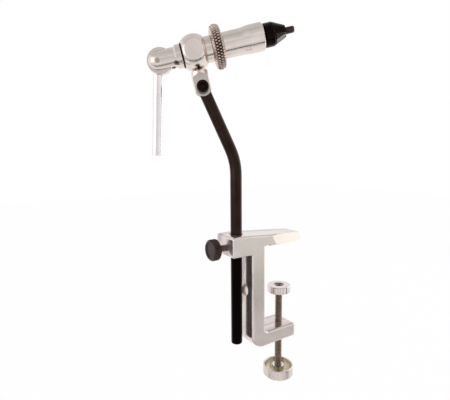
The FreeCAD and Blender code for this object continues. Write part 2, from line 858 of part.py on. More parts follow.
def ring_clip():
    # a spring clip in the spindle's groove, open at the top
    end = clip_start() + clip_thickness
    clip = ring_x(clip_start(), end, seat_radius - clip_groove_depth, clip_radius)
    half_gap = clip_opening / 2
    return clip.cut(box(clip_start() - cut_past, end + cut_past, -half_gap, half_gap, 0, 2 * clip_radius))


def nose_tube():
    thread = ring_thread_radius - running
    step0 = tube_back + tube_step_start
    step1 = step0 + tube_step_length
    inner = seat_radius + running
    thread_start = tube_back - tube_thread_length
    cap_bore = tube_front - cap_thread_length - thread_runout
    front_radius = tube_front_radius
    body = turned_x([
        (thread_start, inner), (thread_start, thread), (tube_back, thread),
        (tube_back, flange_radius - turned_bevel), (tube_back + turned_bevel, flange_radius),
        (step0, flange_radius), (step1, front_radius), (tube_front - tube_front_bevel, front_radius),
        (tube_front, front_radius - tube_front_bevel), (tube_front, cap_thread_radius),
        (cap_bore, cap_thread_radius), (cap_bore, inner),
    ])
    half_groove = guide_key_radius + running
    groove_top = seat_radius + guide_key_rise + free_gap
    return body.cut(box(thread_start - cut_past, cap_bore, -half_groove, half_groove, 0, groove_top))


def nose_cap():
    groove = cap_back + nose_cap_length
    taper_back = mouth_back - (nose_bore_radius - mouth_radius) / taper_slope
    spigot_back = tube_front - cap_thread_length
    neck_start = cap_back - turned_bevel
    neck_end = cap_back + turned_bevel
    groove_radius = nose_cone_radius - nose_groove_depth
    body = turned_x([
        (spigot_back, nose_bore_radius), (spigot_back, cap_thread_radius), (neck_start, cap_thread_radius),
        (neck_start, nose_cap_back_radius), (neck_end, nose_cap_back_radius),
        (neck_end + nose_cap_chamfer, nose_cap_radius), (groove - turned_bevel, nose_cap_radius),
        (groove, nose_cap_radius - turned_bevel), (groove, groove_radius),
        (cone_back, groove_radius), (cone_back, nose_cone_radius),
        (nose_face, nose_face_radius), (nose_face, mouth_radius), (mouth_back, mouth_radius),
        (taper_back, nose_bore_radius),
    ])
    far = 2 * nose_cap_radius
    return body.cut(box(cone_back + notch_back_gap, nose_face + cut_past,
                        -far, -notch_floor, -far, -notch_floor))


def jaw_back_radius():
    return nose_bore_radius - jaw_clearance / math.cos(math.radians(mouth_taper)) - jaw_relief


def jaw_cone_start():
    # where the jaws begin to narrow, inside the nose cap
    slack = jaw_clearance / math.cos(math.radians(mouth_taper))
    return mouth_back - (jaw_back_radius() + slack - mouth_radius) / taper_slope


def jaw_body_back():
    return jaw_cone_start() - jaw_reach


def jaw_pivot_x():
    return jaw_body_back() - jaw_tang_length / 2 - pivot_behind_body


def jaw(side):
    # one half of the split collet, on the given side of the upright split
    slack = jaw_clearance / math.cos(math.radians(mouth_taper))
    back_radius = jaw_back_radius()
    step_x = mouth_back - (nub_radius + slack - mouth_radius) / taper_slope
    body = turned_x([
        (jaw_body_back(), 0), (jaw_body_back(), back_radius), (jaw_cone_start(), back_radius),
        (step_x, nub_radius), (jaw_tip - nub_round_length, nub_radius),
        (jaw_tip - 0.2 * nub_round_length, 0.8 * nub_radius), (jaw_tip, 0.5 * nub_radius), (jaw_tip, 0),
    ])
    pivot = jaw_pivot_x()
    back = pivot - jaw_tang_length / 2
    half_tang = jaw_tang_height / 2 - running
    tang = box(back, jaw_body_back() + cut_past, 0, back_radius - tang_inset, -half_tang, half_tang)
    wide = 3 * nose_bore_radius
    body = body.common(box(jaw_body_back(), jaw_tip + cut_past, 0, wide, -wide, wide)).fuse(tang)
    body = body.removeSplitter()
    body = body.cut(box(back - cut_past, jaw_tip + cut_past, -cut_past, jaw_split / 2, -wide, wide))
    body = body.cut(box(back - cut_past, pivot + cut_past, -cut_past, tang_half_gap, -wide, wide))
    body = body.cut(rod_z(-wide, wide, jaw_pin_diameter / 2 + running, pivot, jaw_pin_offset))
    well_radius = spreader_radius + spreader_wire / 2 + spreader_well_gap
    body = body.cut(rod_y(-cut_past, spreader_depth, well_radius, spreader_x()))
    if side < 0:
        body = body.mirror(Vec(0, 0, 0), Vec(0, 1, 0))
    return body


def spreader_x():
    return jaw_body_back() + spreader_place


def spreader_spring():
    # a small spring in a well between the jaws, which pushes them apart
    end = spreader_depth - face_gap
    coil = coil_x(-end, end, spreader_radius, spreader_wire / 2, spreader_coils)
    coil.rotate(Vec(0, 0, 0), Vec(0, 0, 1), 90)
    coil.translate(Vec(spreader_x(), 0, 0))
    return coil


def jaw_carrier():
    pivot = jaw_pivot_x()
    back = pivot - carrier_back
    front = jaw_body_back() - free_gap
    body = rod_x(back, front, carrier_radius)
    half = jaw_tang_height / 2
    wide = 2 * carrier_radius
    slot_back = pivot - jaw_tang_length / 2 - free_gap
    body = body.cut(box(slot_back, front + cut_past, -wide, wide, -half, half))
    for side in (-1, 1):
        body = body.cut(rod_z(-wide, wide, jaw_pin_diameter / 2, pivot, side * jaw_pin_offset))
    return body.cut(rod_x(back - cut_past, back + carrier_spigot_length, carrier_spigot_radius))


def jaw_pins():
    reach = math.sqrt(carrier_radius ** 2 - jaw_pin_offset ** 2) - pin_below_surface
    pins = []
    for side in (-1, 1):
        pins.append(rod_z(-reach, reach, jaw_pin_diameter / 2, jaw_pivot_x(), side * jaw_pin_offset))
    return Part.makeCompound(pins)


def push_rod():
    front = jaw_pivot_x() - carrier_back
    body = rod_x(rod_back, front, rod_radius)
    body = body.fuse(rod_x(rod_flange_start, rod_flange_start + rod_flange_thickness, rod_flange_radius))
    body = body.fuse(rod_x(front, front + carrier_spigot_length, carrier_spigot_radius))
    return body.removeSplitter()


def return_spring():
    start = rod_flange_start + rod_flange_thickness + face_gap
    end = spindle_nose - plug_length - face_gap
    return coil_x(start, end, spring_mean_radius, spring_wire / 2, spring_coils)


def spring_plug():
    return ring_x(spindle_nose - plug_length, spindle_nose - plug_inset, rod_bore, chamber_diameter / 2)


save("clamp_frame", clamp_frame())
save("spine_screw", spine_screw())
save("clamp_pad", clamp_pad())
save("pad_screw", pad_screw())
save("clamp_screw", clamp_screw())
save("hand_wheel", hand_wheel())
save("lock_tip", lock_tip())
save("lock_screw", lock_screw())
save("lock_knob", lock_knob())
save("stem_liner", stem_liner())
save("stem", stem())

save_head("tilt_screw", tilt_screw())
save_head("head_post", head_post())
save_head("collar", collar())
save_head("rear_bush", collar_bush(-1))
save_head("front_bush", collar_bush(1))
save_head("drag_screw", drag_screw())
save_head("drag_ring", drag_ring())
save_head("spindle", spindle())
save_head("guide_key", guide_key())
save_head("clevis", clevis())
save_head("clevis_screw", clevis_screw())
save_head("cam_pin", cam_pin())
save_head("cam_disc", cam_disc())
save_head("lever_rod", lever_rod())
save_head("adjust_ring", adjust_ring())
save_head("ring_clip", ring_clip())
save_head("nose_tube", nose_tube())
save_head("nose_cap", nose_cap())
save_head("right_jaw", jaw(-1))
save_head("left_jaw", jaw(1))
save_head("jaw_carrier", jaw_carrier())
save_head("jaw_pins", jaw_pins())
save_head("spreader_spring", spreader_spring())
save_head("push_rod", push_rod())
save_head("return_spring", return_spring())
save_head("spring_plug", spring_plug())
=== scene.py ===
import json
import math

import bpy
from mathutils import Matrix, Vector


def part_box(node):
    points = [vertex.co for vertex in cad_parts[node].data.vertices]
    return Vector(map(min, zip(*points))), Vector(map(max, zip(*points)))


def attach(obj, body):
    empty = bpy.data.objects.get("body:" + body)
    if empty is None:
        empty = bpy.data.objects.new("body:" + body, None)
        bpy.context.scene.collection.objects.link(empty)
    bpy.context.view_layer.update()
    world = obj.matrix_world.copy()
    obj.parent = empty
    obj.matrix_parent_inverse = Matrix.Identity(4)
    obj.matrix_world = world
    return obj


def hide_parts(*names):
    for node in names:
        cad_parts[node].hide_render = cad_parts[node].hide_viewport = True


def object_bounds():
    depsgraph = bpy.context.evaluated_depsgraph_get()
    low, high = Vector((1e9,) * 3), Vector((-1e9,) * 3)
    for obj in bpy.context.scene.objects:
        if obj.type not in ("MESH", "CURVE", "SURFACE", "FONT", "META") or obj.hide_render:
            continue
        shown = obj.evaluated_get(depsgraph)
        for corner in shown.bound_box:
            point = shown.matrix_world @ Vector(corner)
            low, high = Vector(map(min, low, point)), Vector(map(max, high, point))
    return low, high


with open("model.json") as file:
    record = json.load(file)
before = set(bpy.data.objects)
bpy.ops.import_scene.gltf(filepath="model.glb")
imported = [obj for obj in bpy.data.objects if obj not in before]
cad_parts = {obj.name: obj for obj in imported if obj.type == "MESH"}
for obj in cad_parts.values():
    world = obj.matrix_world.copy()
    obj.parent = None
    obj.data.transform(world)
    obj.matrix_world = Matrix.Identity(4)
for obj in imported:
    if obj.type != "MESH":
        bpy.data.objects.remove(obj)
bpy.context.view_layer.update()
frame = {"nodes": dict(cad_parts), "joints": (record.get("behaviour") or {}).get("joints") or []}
joints = {joint["name"]: joint for joint in frame["joints"]}

ways = Matrix.Identity(3)                  # x, y and z
pinHole = 0.0001                           # radius at the middle of a lathed face, where rows can't meet
upright = ways[2]
clampCentre = Vector((0, 0, 0))            # on the clamp screw's axis

# the head's own directions: along towards the jaws, side away from the camera
along = Vector(joints["head_spin"]["axis"])
side = Vector(joints["head_tilt"]["axis"])
headCentre = Vector(joints["head_spin"]["pos_m"])
tiltCentre = Vector(joints["head_tilt"]["pos_m"])
camCentre = Vector(joints["cam_lever_turn"]["pos_m"])


def between(ends, amount):
    # the first of two values where the amount is 0, the second where it is 1
    first, second = ends
    return first + (second - first) * amount


class Wire:
    # One output of a node. Maths on it adds Math nodes to the same material.
    def __init__(self, paint, socket):
        self.paint = paint
        self.socket = socket

    def maths(self, operation, *values):
        return self.paint.add("ShaderNodeMath", {"operation": operation}, dict(enumerate(values)))

    def __add__(self, other):
        return self.maths("ADD", self, other)

    def __radd__(self, other):
        return self.maths("ADD", other, self)

    def __sub__(self, other):
        return self.maths("SUBTRACT", self, other)

    def __rsub__(self, other):
        return self.maths("SUBTRACT", other, self)

    def __mul__(self, other):
        return self.maths("MULTIPLY", self, other)

    def __rmul__(self, other):
        return self.maths("MULTIPLY", other, self)

    def __gt__(self, other):
        return self.maths("GREATER_THAN", self, other)

    def __abs__(self):
        return self.maths("ABSOLUTE", self)

    def step(self, low, high):
        # 0 below low, 1 above high, smooth between
        inputs = {"Value": self, "From Min": low, "From Max": high}
        return self.paint.add("ShaderNodeMapRange", {"interpolation_type": "SMOOTHSTEP"}, inputs)


class Paint:
    # A node tree, with one method that adds any node and short ones for what is used often.
    def __init__(self, tree):
        self.tree = tree
        self.tree.nodes.clear()

    def add(self, kind, settings=None, inputs=None, output=0):
        node = self.tree.nodes.new(kind)
        for name, value in (settings or {}).items():
            setattr(node, name, value)
        for key, value in (inputs or {}).items():
            if isinstance(value, Wire):
                self.tree.links.new(value.socket, node.inputs[key])
            else:
                node.inputs[key].default_value = value
        return Wire(self, node.outputs[output]) if node.outputs else node

    def vector(self, operation, first, second=None, output=0):
        inputs = {0: first} if second is None else {0: first, 1: second}
        return self.add("ShaderNodeVectorMath", {"operation": operation}, inputs, output)

    def place(self):
        return self.add("ShaderNodeTexCoord", output="Object")

    def facing(self, way):
        # how far the surface faces a way, from -1 to 1
        return self.reach(self.add("ShaderNodeTexCoord", output="Normal"), way)

    def groove(self):
        # how deep a point lies in a thread or a knurl, from 0 to 1
        return self.add("ShaderNodeAttribute", {"attribute_name": "groove"}, output="Fac")

    def reach(self, vector, way, start=(0, 0, 0)):
        # how far a point lies along a way, from a start
        return self.vector("DOT_PRODUCT", vector, way, "Value") - way.dot(Vector(start))

    def radius(self, way, start):
        # how far the point lies from an axis
        offset = self.vector("SUBTRACT", self.place(), start)
        return self.vector("LENGTH", self.vector("CROSS_PRODUCT", offset, way), output="Value")

    def noise(self, vector, scale, detail=3, roughness=0.55):
        inputs = {"Vector": vector, "Scale": scale, "Detail": detail, "Roughness": roughness}
        return self.add("ShaderNodeTexNoise", inputs=inputs)

    def stretched(self, vector, stretch, scale, detail, roughness=0.55):
        # noise drawn out along the ways where stretch is small
        return self.noise(self.vector("MULTIPLY", vector, stretch), scale, detail, roughness)

    def blend(self, amount, first, second):
        # between two colours, which go to sockets 6 and 7 of a Mix node and come out of its output 2
        colors = [color if isinstance(color, Wire) else (*color, 1) for color in (first, second)]
        return self.add("ShaderNodeMix", {"data_type": "RGBA"}, {0: amount, 6: colors[0], 7: colors[1]}, 2)


def finish(name, metallic, color, roughness, bump, bumpHeight, **fixed):
    # A material whose colour, roughness and height are functions that wire them.
    material = bpy.data.materials.new(name)
    material.use_nodes = True
    paint = Paint(material.node_tree)
    inputs = {"Metallic": metallic, "Base Color": color(paint), "Roughness": roughness(paint)}
    inputs["Normal"] = paint.add("ShaderNodeBump", inputs={"Distance": bumpHeight, "Height": bump(paint)})
    inputs.update({key.replace("_", " "): value for key, value in fixed.items()})
    shader = paint.add("ShaderNodeBsdfPrincipled", inputs=inputs)
    paint.add("ShaderNodeOutputMaterial", inputs={"Surface": shader})
    return material


def shaded(tint, share):
    return tuple(part * share for part in tint)


# what every finish shares: the contrast of its marks, and the scales of its noise
surfaceLook = {
    "marks": (0.35, 0.68),
    "markScale": 160,
    "turnedMarkScale": 110,
    "coatMarkScale": 140,
    "blotches": (0.3, 0.7),
    "blotchScale": 220,
    "facingSide": (0.7, 0.98),             # how squarely a face looks sideways to count as a side
}


def handling(paint, scale=surfaceLook["markScale"]):
    # soft marks of handling, from 0 to 1
    return paint.noise(paint.place(), scale, 5, 0.6).step(*surfaceLook["marks"])


def blotches(paint):
    return paint.noise(paint.place(), surfaceLook["blotchScale"], 5).step(*surfaceLook["blotches"])


def wornSkin(paint, look, scale):
    # a tint with handled spots in a darker or lighter shade of it
    return paint.blend(handling(paint, surfaceLook[scale]), look["tint"], shaded(look["tint"], look["worn"]))


def latheRings(paint, axis, finest):
    # the fine rings that a lathe leaves, square to its axis
    place = paint.reach(paint.place(), *axis)
    line = paint.add("ShaderNodeCombineXYZ", inputs={"X": place})
    return paint.noise(line, finest, 4, 0.7)


def millLines(paint, stretch, scale):
    # fine lines left by a belt or a mill, drawn out along one way
    return paint.stretched(paint.place(), stretch, scale, 4, 0.65)


clampLook = {
    "blockTint": (0.73, 0.675, 0.62),      # satin sides, at the block
    "spineTint": (0.61, 0.55, 0.505),      # along the spine
    "armTint": (0.74, 0.655, 0.62),        # and round the arm
    "blockFrom": (-0.035, 0.006),          # heights where one tint fades into the next
    "spineFrom": (-0.064, -0.035),
    "fadeWave": 0.012,                     # how far those fades wander up and down
    "fadeScale": 60,
    "cloudTint": (0.3, 0.27, 0.25),        # soft dark clouds on the sides
    "cloudShare": 0.14,
    "clouds": (0.3, 0.7),
    "cloudScale": 75,
    "taperHighlightTint": (0.87, 0.79, 0.71),       # painted highlight: the cut faces beside the jaw, drawn lighter than the sides
    "taperLean": (0.06, 0.1),              # how far those lean forward
    "taperSide": (0.9, 0.96),              # and how squarely they look sideways
    "faceTint": (0.76, 0.675, 0.65),       # rubbed faces
    "streakTint": (0.54, 0.44, 0.455),     # long darker streaks along the faces other than the sides
    "streaks": (0.45, 0.62),
    "streakStretch": (0.04, 1, 0.3),
    "streakScale": 150,
    "sideRoughness": (0.3, 0.42),
    "faceRoughness": (0.13, 0.2),
    "grainScale": 2600,
    "lineScale": 2200,
    "castScale": 420,
    "lineHeight": 0.06,                    # belt lines on the faces, as a share of the bump's height
    "castHeight": 0.5,                     # and the grain of the sides
    "bumpHeight": 0.000008,
    "metallic": 0.9,
}


def clampFinish():
    look = clampLook

    def isSide(paint):
        return abs(paint.facing(ways[1])).step(*surfaceLook["facingSide"])

    def color(paint):
        wave = look["fadeWave"] * paint.noise(paint.place(), look["fadeScale"])
        height = paint.reach(paint.place(), upright) + wave
        sides = paint.blend(height.step(*look["blockFrom"]), look["spineTint"], look["blockTint"])
        sides = paint.blend(height.step(*look["spineFrom"]), look["armTint"], sides)
        cloud = paint.noise(paint.place(), look["cloudScale"], 4, 0.6).step(*look["clouds"])
        sides = paint.blend(look["cloudShare"] * cloud, sides, look["cloudTint"])
        streaks = millLines(paint, look["streakStretch"], look["streakScale"]).step(*look["streaks"])
        faces = paint.blend(streaks, look["faceTint"], look["streakTint"])
        both = paint.blend(isSide(paint), faces, sides)
        # painted highlight: side faces that lean a little forward are drawn in a lighter tint
        taper = paint.facing(ways[0]).step(*look["taperLean"])
        beside = abs(paint.facing(ways[1])).step(*look["taperSide"])
        return paint.blend(taper * beside, both, look["taperHighlightTint"])

    def roughness(paint):
        grain = millLines(paint, (1, 1, 0.04), look["grainScale"])
        marks = handling(paint)
        sides = between(look["sideRoughness"], 0.6 * grain + 0.4 * marks)
        faces = between(look["faceRoughness"], 0.7 * marks + 0.3 * grain)
        return between((faces, sides), isSide(paint))

    def bump(paint):
        lines = millLines(paint, (0.05, 1, 0.05), look["lineScale"]) * look["lineHeight"]
        cast = paint.noise(paint.place(), look["castScale"]) * look["castHeight"]
        return between((lines, cast), isSide(paint))

    return finish("clampAluminium", look["metallic"], color, roughness, bump, look["bumpHeight"])


stemLook = {
    "upperTint": (0.034, 0.02, 0.0165),
    "lowerShadeTint": (0.0045, 0.0025, 0.0025),
    "change": (-0.007, -0.001),            # heights where the stem's painted shade begins, inside the clamp's block
    "worn": 0.7,                           # shade of the handled spots
    "wornScale": 90,
    "roughness": (0.07, 0.14),
    "roughScale": 240,
    "tooth": 700,
    "bumpHeight": 0.000003,
}


def stemFinish():
    look = stemLook

    def color(paint):
        worn = shaded(look["upperTint"], look["worn"])
        upper = paint.blend(handling(paint, look["wornScale"]), look["upperTint"], worn)
        # painted shade: below the clamp's block the stem is drawn much darker
        height = paint.reach(paint.place(), upright)
        return paint.blend(height.step(*look["change"]), look["lowerShadeTint"], upper)

    def roughness(paint):
        return between(look["roughness"], handling(paint, look["roughScale"]))

    def bump(paint):
        return paint.noise(paint.place(), look["tooth"])

    return finish("stemBlack", 1.0, color, roughness, bump, look["bumpHeight"])


capLook = {
    "tint": (0.008, 0.0045, 0.0038),
    "worn": 1.8,                           # handled spots are lighter
    "milledTint": (0.34, 0.31, 0.3),       # inside the notch, where the coat is cut through
    "coneStart": (0.0636, 0.064),          # along the head
    "coneSlope": 0.4096,                   # the cone's half angle, in radians
    "coneLean": (0.16, 0.24),              # how far the notch's faces lean off the cone's
    "tipFace": (0.5, 0.7),                 # faces that look along the head keep their coat
    "bore": 0.0034,                        # and so does the bore
    "roughness": (0.18, 0.32),
    "ringScale": 3200,
    "bumpHeight": 0.000003,
}


def capFinish():
    look = capLook

    def color(paint):
        skin = wornSkin(paint, look, "coatMarkScale")
        ahead = paint.reach(paint.place(), along, headCentre).step(*look["coneStart"])
        # the cone's own faces lean forward by its slope, the notch's faces don't
        lean = abs(paint.facing(along) - math.sin(look["coneSlope"])).step(*look["coneLean"])
        tip = abs(paint.facing(along)).step(*look["tipFace"])
        wall = paint.radius(along, headCentre) > look["bore"]
        return paint.blend(ahead * lean * (1 - tip) * wall, skin, look["milledTint"])

    def roughness(paint):
        return between(look["roughness"], blotches(paint))

    def bump(paint):
        return latheRings(paint, (along, headCentre), look["ringScale"])

    return finish("capBlack", 1.0, color, roughness, bump, look["bumpHeight"])


postLook = {
    "tint": (0.92, 0.83, 0.785),
    "worn": 0.9,
    "spotShadeTint": (0.64, 0.57, 0.54),        # painted shade on the milled spot under the screw's head
    "spotFacing": (0.97, 0.995),
    "roughness": (0.17, 0.28),
    "roughScale": 220,
    "tooth": 900,
    "bumpHeight": 0.000003,
}


def postFinish():
    look = postLook

    def color(paint):
        skin = wornSkin(paint, look, "coatMarkScale")
        # painted shade: faces turned against the side way, the milled spot among them, are drawn darker
        spot = paint.facing(-side).step(*look["spotFacing"])
        return paint.blend(spot, skin, look["spotShadeTint"])

    def roughness(paint):
        return between(look["roughness"], handling(paint, look["roughScale"]))

    def bump(paint):
        return paint.noise(paint.place(), look["tooth"])

    return finish("postAluminium", 1.0, color, roughness, bump, look["bumpHeight"])


wheelLook = {
    "tint": (0.74, 0.65, 0.61),
    "worn": 0.93,
    "insideLitTint": (0.82, 0.76, 0.66),
    "reflectionStreakShade": 0.8,                    # painted reflection: upright darker streaks inside the cup
    "streaks": (0.4, 0.6),
    "streakStretch": (1, 1, 0.1),
    "streakScale": 190,
    "bossHighlightTint": (0.95, 0.91, 0.88),        # painted highlight on the boss's upward rim
    "bossEdge": (0.0054, 0.0056),
    "inside": 0.01235,                     # the cup's inner wall lies nearer the axis than this
    "upwards": (0.3, 0.7),                 # how squarely a face looks up to be the boss's rim
    "roughness": (0.22, 0.32),
    "ringScale": 3000,
    "bumpHeight": 0.0000006,
}


def wheelFinish():
    look = wheelLook

    def color(paint):
        radius = paint.radius(upright, clampCentre)
        above = paint.facing(upright).step(*look["upwards"])
        outside = wornSkin(paint, look, "turnedMarkScale")
        # painted light: the cup's inner wall is drawn lighter and warmer than the outside, with painted
        # reflection streaks
        streaks = paint.stretched(paint.place(), look["streakStretch"], look["streakScale"], 2)
        streaks = streaks.step(*look["streaks"])
        within = paint.blend(streaks, look["insideLitTint"], shaded(look["insideLitTint"], look["reflectionStreakShade"]))
        walls = paint.blend(radius > look["inside"], within, outside)
        # painted highlight: upward faces near the axis, the boss's rim, are drawn nearly white
        return paint.blend(above * (1 - radius.step(*look["bossEdge"])), walls, look["bossHighlightTint"])

    def roughness(paint):
        return between(look["roughness"], handling(paint))

    def bump(paint):
        return latheRings(paint, (upright, clampCentre), look["ringScale"])

    return finish("wheelAluminium", 1.0, color, roughness, bump, look["bumpHeight"])


def leverAxis():
    # the lever's own line, from its free end to the cam's pin
    low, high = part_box("lever_rod")
    end = Vector(((low.x + high.x) / 2, (low.y + high.y) / 2, low.z))
    return (camCentre - end).normalized(), end


turningAxes = {
    "head": (along, headCentre),
    "clampScrew": (upright, clampCentre),
    "lever": leverAxis(),
    "camPin": (side, camCentre),
}

# bright turned metal: its tint, how rough, the axis that it was turned on, and the height of its rings
turnedLooks = {
    "headAluminium": {"tint": (0.81, 0.72, 0.67), "roughness": (0.15, 0.26), "axis": "head"},
    "noseAluminium": {"tint": (0.81, 0.72, 0.67), "roughness": (0.16, 0.27), "axis": "head"},
    "padSteel": {"tint": (0.78, 0.7, 0.68), "roughness": (0.1, 0.2), "axis": "clampScrew"},
    "leverSteel": {"tint": (0.92, 0.875, 0.865), "roughness": (0.13, 0.2), "axis": "lever",
                   "bumpHeight": 0.000001},
    "camSteel": {"tint": (0.78, 0.7, 0.67), "roughness": (0.1, 0.2), "axis": "camPin"},
    "pinSteel": {"tint": (0.5, 0.42, 0.38), "roughness": (0.2, 0.36), "axis": "camPin"},
    "setScrewSteel": {"tint": (0.24, 0.18, 0.16), "roughness": (0.22, 0.36), "axis": "camPin"},
    "bronze": {"tint": (0.62, 0.43, 0.22), "roughness": (0.22, 0.4), "axis": "head"},
    "innerSteel": {"tint": (0.576, 0.52, 0.48), "roughness": (0.24, 0.4), "axis": "head"},
}
turnedSkin = {"worn": 0.93, "roughScale": 2400, "ringScale": 3600}


def turnedFinish(name, tint, roughness, axis, bumpHeight=0.000004):
    axis = turningAxes[axis]
    look = {"tint": tint, **turnedSkin}

    def color(paint):
        return wornSkin(paint, look, "turnedMarkScale")

    def rough(paint):
        rings = latheRings(paint, axis, look["roughScale"])
        return between(roughness, 0.6 * rings + 0.4 * handling(paint))

    def bump(paint):
        return latheRings(paint, axis, look["ringScale"])

    return finish(name, 1.0, color, rough, bump, bumpHeight)


# a coat or a skin: its tint, the tint where it is rubbed, how rough, and the height and fineness of its tooth
rubbedLooks = {
    "collarAluminium": {"tint": (0.84, 0.745, 0.705), "rubbed": (0.79, 0.695, 0.65),
                        "roughness": (0.17, 0.27), "bumpHeight": 0.000002},
    "buttonSteel": {"tint": (0.95, 0.82, 0.76), "rubbed": (0.84, 0.72, 0.66), "roughness": (0.32, 0.42),
                    "bumpHeight": 0.000003, "metallic": 0.5},
    "screwSteel": {"tint": (0.34, 0.255, 0.2), "rubbed": (0.24, 0.18, 0.14), "roughness": (0.24, 0.38),
                   "bumpHeight": 0.000006, "grooveShade": 0.5},
    "ringSteel": {"tint": (0.72, 0.58, 0.52), "rubbed": (0.54, 0.42, 0.37), "roughness": (0.16, 0.28),
                  "bumpHeight": 0.000004, "grooveShade": 0.03},
    "screwBlack": {"tint": (0.022, 0.013, 0.012), "rubbed": (0.014, 0.008, 0.007),
                   "roughness": (0.25, 0.4), "bumpHeight": 0.000006, "tooth": 1800},
    "knobBrown": {"tint": (0.05, 0.033, 0.03), "rubbed": (0.07, 0.05, 0.046), "roughness": (0.2, 0.32),
                  "bumpHeight": 0.000003, "tooth": 1500},
    "washerBlack": {"tint": (0.006, 0.005, 0.005), "rubbed": (0.01, 0.009, 0.009),
                    "roughness": (0.45, 0.6), "metallic": 0.0, "Specular_IOR_Level": 0.25},
    "jawSteel": {"tint": (0.04, 0.028, 0.025), "rubbed": (0.07, 0.052, 0.046), "roughness": (0.2, 0.36),
                 "bumpHeight": 0.000006, "tooth": 1600},
    "springSteel": {"tint": (0.42, 0.39, 0.37), "rubbed": (0.34, 0.31, 0.29), "roughness": (0.25, 0.4)},
}


def rubbedFinish(name, tint, rubbed, roughness, metallic=1.0, bumpHeight=0.00001, tooth=900, grooveShade=0.25,
                 **fixed):
    def color(paint):
        skin = paint.blend(handling(paint, surfaceLook["coatMarkScale"]), tint, rubbed)
        # painted shade: the deeper a point lies in a thread or knurl groove, the darker its tint
        return paint.blend(paint.groove(), skin, shaded(tint, grooveShade))

    def rough(paint):
        return between(roughness, blotches(paint))

    def bump(paint):
        return paint.noise(paint.place(), tooth)

    return finish(name, metallic, color, rough, bump, bumpHeight, **fixed)


def makeFinishes():
    made = {
        "clampAluminium": clampFinish(),
        "stemBlack": stemFinish(),
        "capBlack": capFinish(),
        "postAluminium": postFinish(),
        "wheelAluminium": wheelFinish(),
    }
    for name, look in turnedLooks.items():
        made[name] = turnedFinish(name, **look)
    for name, look in rubbedLooks.items():
        made[name] = rubbedFinish(name, **look)
    print("finishes made:", len(made))
    return made


finishes = makeFinishes()

nodeFinishes = {
    "clampAluminium": ["clamp_frame"],
    "stemBlack": ["stem"],
    "capBlack": ["nose_cap"],
    "postAluminium": ["head_post"],
    "wheelAluminium": ["hand_wheel"],
    "headAluminium": ["spindle", "clevis"],
    "noseAluminium": ["nose_tube"],
    "padSteel": ["clamp_pad"],
    "leverSteel": ["lever_rod"],
    "camSteel": ["cam_disc"],
    "pinSteel": ["cam_pin"],
    "setScrewSteel": ["clevis_screw"],
    "bronze": ["lock_tip", "stem_liner", "rear_bush", "front_bush", "spring_plug"],
    "innerSteel": ["guide_key", "jaw_carrier", "jaw_pins", "push_rod"],
    "collarAluminium": ["collar"],
    "buttonSteel": ["spine_screw"],
    "screwBlack": ["pad_screw", "drag_screw"],
    "washerBlack": ["drag_ring"],
    "jawSteel": ["right_jaw", "left_jaw"],
    "springSteel": ["ring_clip", "spreader_spring", "return_spring"],
}


def dressNodes():
    for look, names in nodeFinishes.items():
        for name in names:
            node = frame["nodes"][name]
            for slot in node.material_slots:
                slot.material = finishes[look]
            if not node.material_slots:
                node.data.materials.append(finishes[look])
    print("nodes dressed:", sum(len(names) for names in nodeFinishes.values()))


dressNodes()


def lathe(name, rows, segments, origin, axis, across, look, body, node, sharp, grooveDepth=None,
          hollow=False):
    # Rows of (distance along the axis, radius) turned into a closed piece.
    # A radius may be a function of the angle, for flats, knurls and threads.
    # A point in a groove knows how deep it lies, as a share of grooveDepth.
    axis = Vector(axis).normalized()
    across = Vector(across).normalized()
    third = axis.cross(across)
    angles = [math.tau * step / segments for step in range(segments)]
    spokes = [across * math.cos(angle) + third * math.sin(angle) for angle in angles]
    points = []
    grooves = []
    for distance, radius in rows:
        radii = [radius(angle) if callable(radius) else radius for angle in angles]
        points += [origin + axis * distance + spoke * reach for spoke, reach in zip(spokes, radii)]
        grooves += [min(1.0, (max(radii) - reach) / grooveDepth) if grooveDepth else 0.0 for reach in radii]
    last = (len(rows) - 1) * segments
    joins = [(first, first + segments) for first in range(0, last, segments)] + [(last, 0)] * hollow
    faces = [(first + step, first + (step + 1) % segments, second + (step + 1) % segments, second + step)
             for first, second in joins for step in range(segments)]
    if not hollow:
        faces.append(tuple(reversed(range(segments))))
        faces.append(tuple(range(last, last + segments)))
    mesh = bpy.data.meshes.new(name)
    mesh.from_pydata([tuple(point) for point in points], [], faces)
    if grooveDepth:
        mesh.attributes.new("groove", "FLOAT", "POINT").data.foreach_set("value", grooves)
    mesh.polygons.foreach_set("use_smooth", [True] * len(mesh.polygons))
    mesh.set_sharp_from_angle(angle=math.radians(sharp))
    mesh.materials.append(finishes[look])
    piece = bpy.data.objects.new(name, mesh)
    bpy.context.scene.collection.objects.link(piece)
    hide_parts(node)
    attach(piece, body)


def roundNode(node, way):
    # the centre, ends and radius of a round node that lies along x (0) or z (2)
    low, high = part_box(node)
    centre = Vector([0 if index == way else (low[index] + high[index]) / 2 for index in range(3)])
    return centre, low[way], high[way], (high[2 - way] - low[2 - way]) / 2


def nodeReach(node, way, start):
    # lowest and highest reach of a node along a way, from a start
    reaches = [(vertex.co - start).dot(way) for vertex in frame["nodes"][node].data.vertices]
    return min(reaches), max(reaches)


# each screw lies along one way, and its thread starts across another: 0, 1 and 2 are x, y and z
screwLooks = {
    "clamp_screw": {"piece": "clampScrewThread", "body": "clamp_screw_group", "way": 2, "across": 0,
                    "pitch": 0.00127, "depth": 0.00055, "chamfer": 0.0004, "segments": 36},
    "lock_screw": {"piece": "lockScrewThread", "body": "lock_screw_group", "way": 0, "across": 1,
                   "pitch": 0.00079, "depth": 0.0004, "chamfer": 0.0003, "segments": 30},
}
threadLook = {
    "rows": 8,                             # rows of points to each turn
    "flank": 2.4,                          # steepness of the groove's sides
    "root": 0.7,                           # narrows the groove's bottom
    "sharp": 50,
}


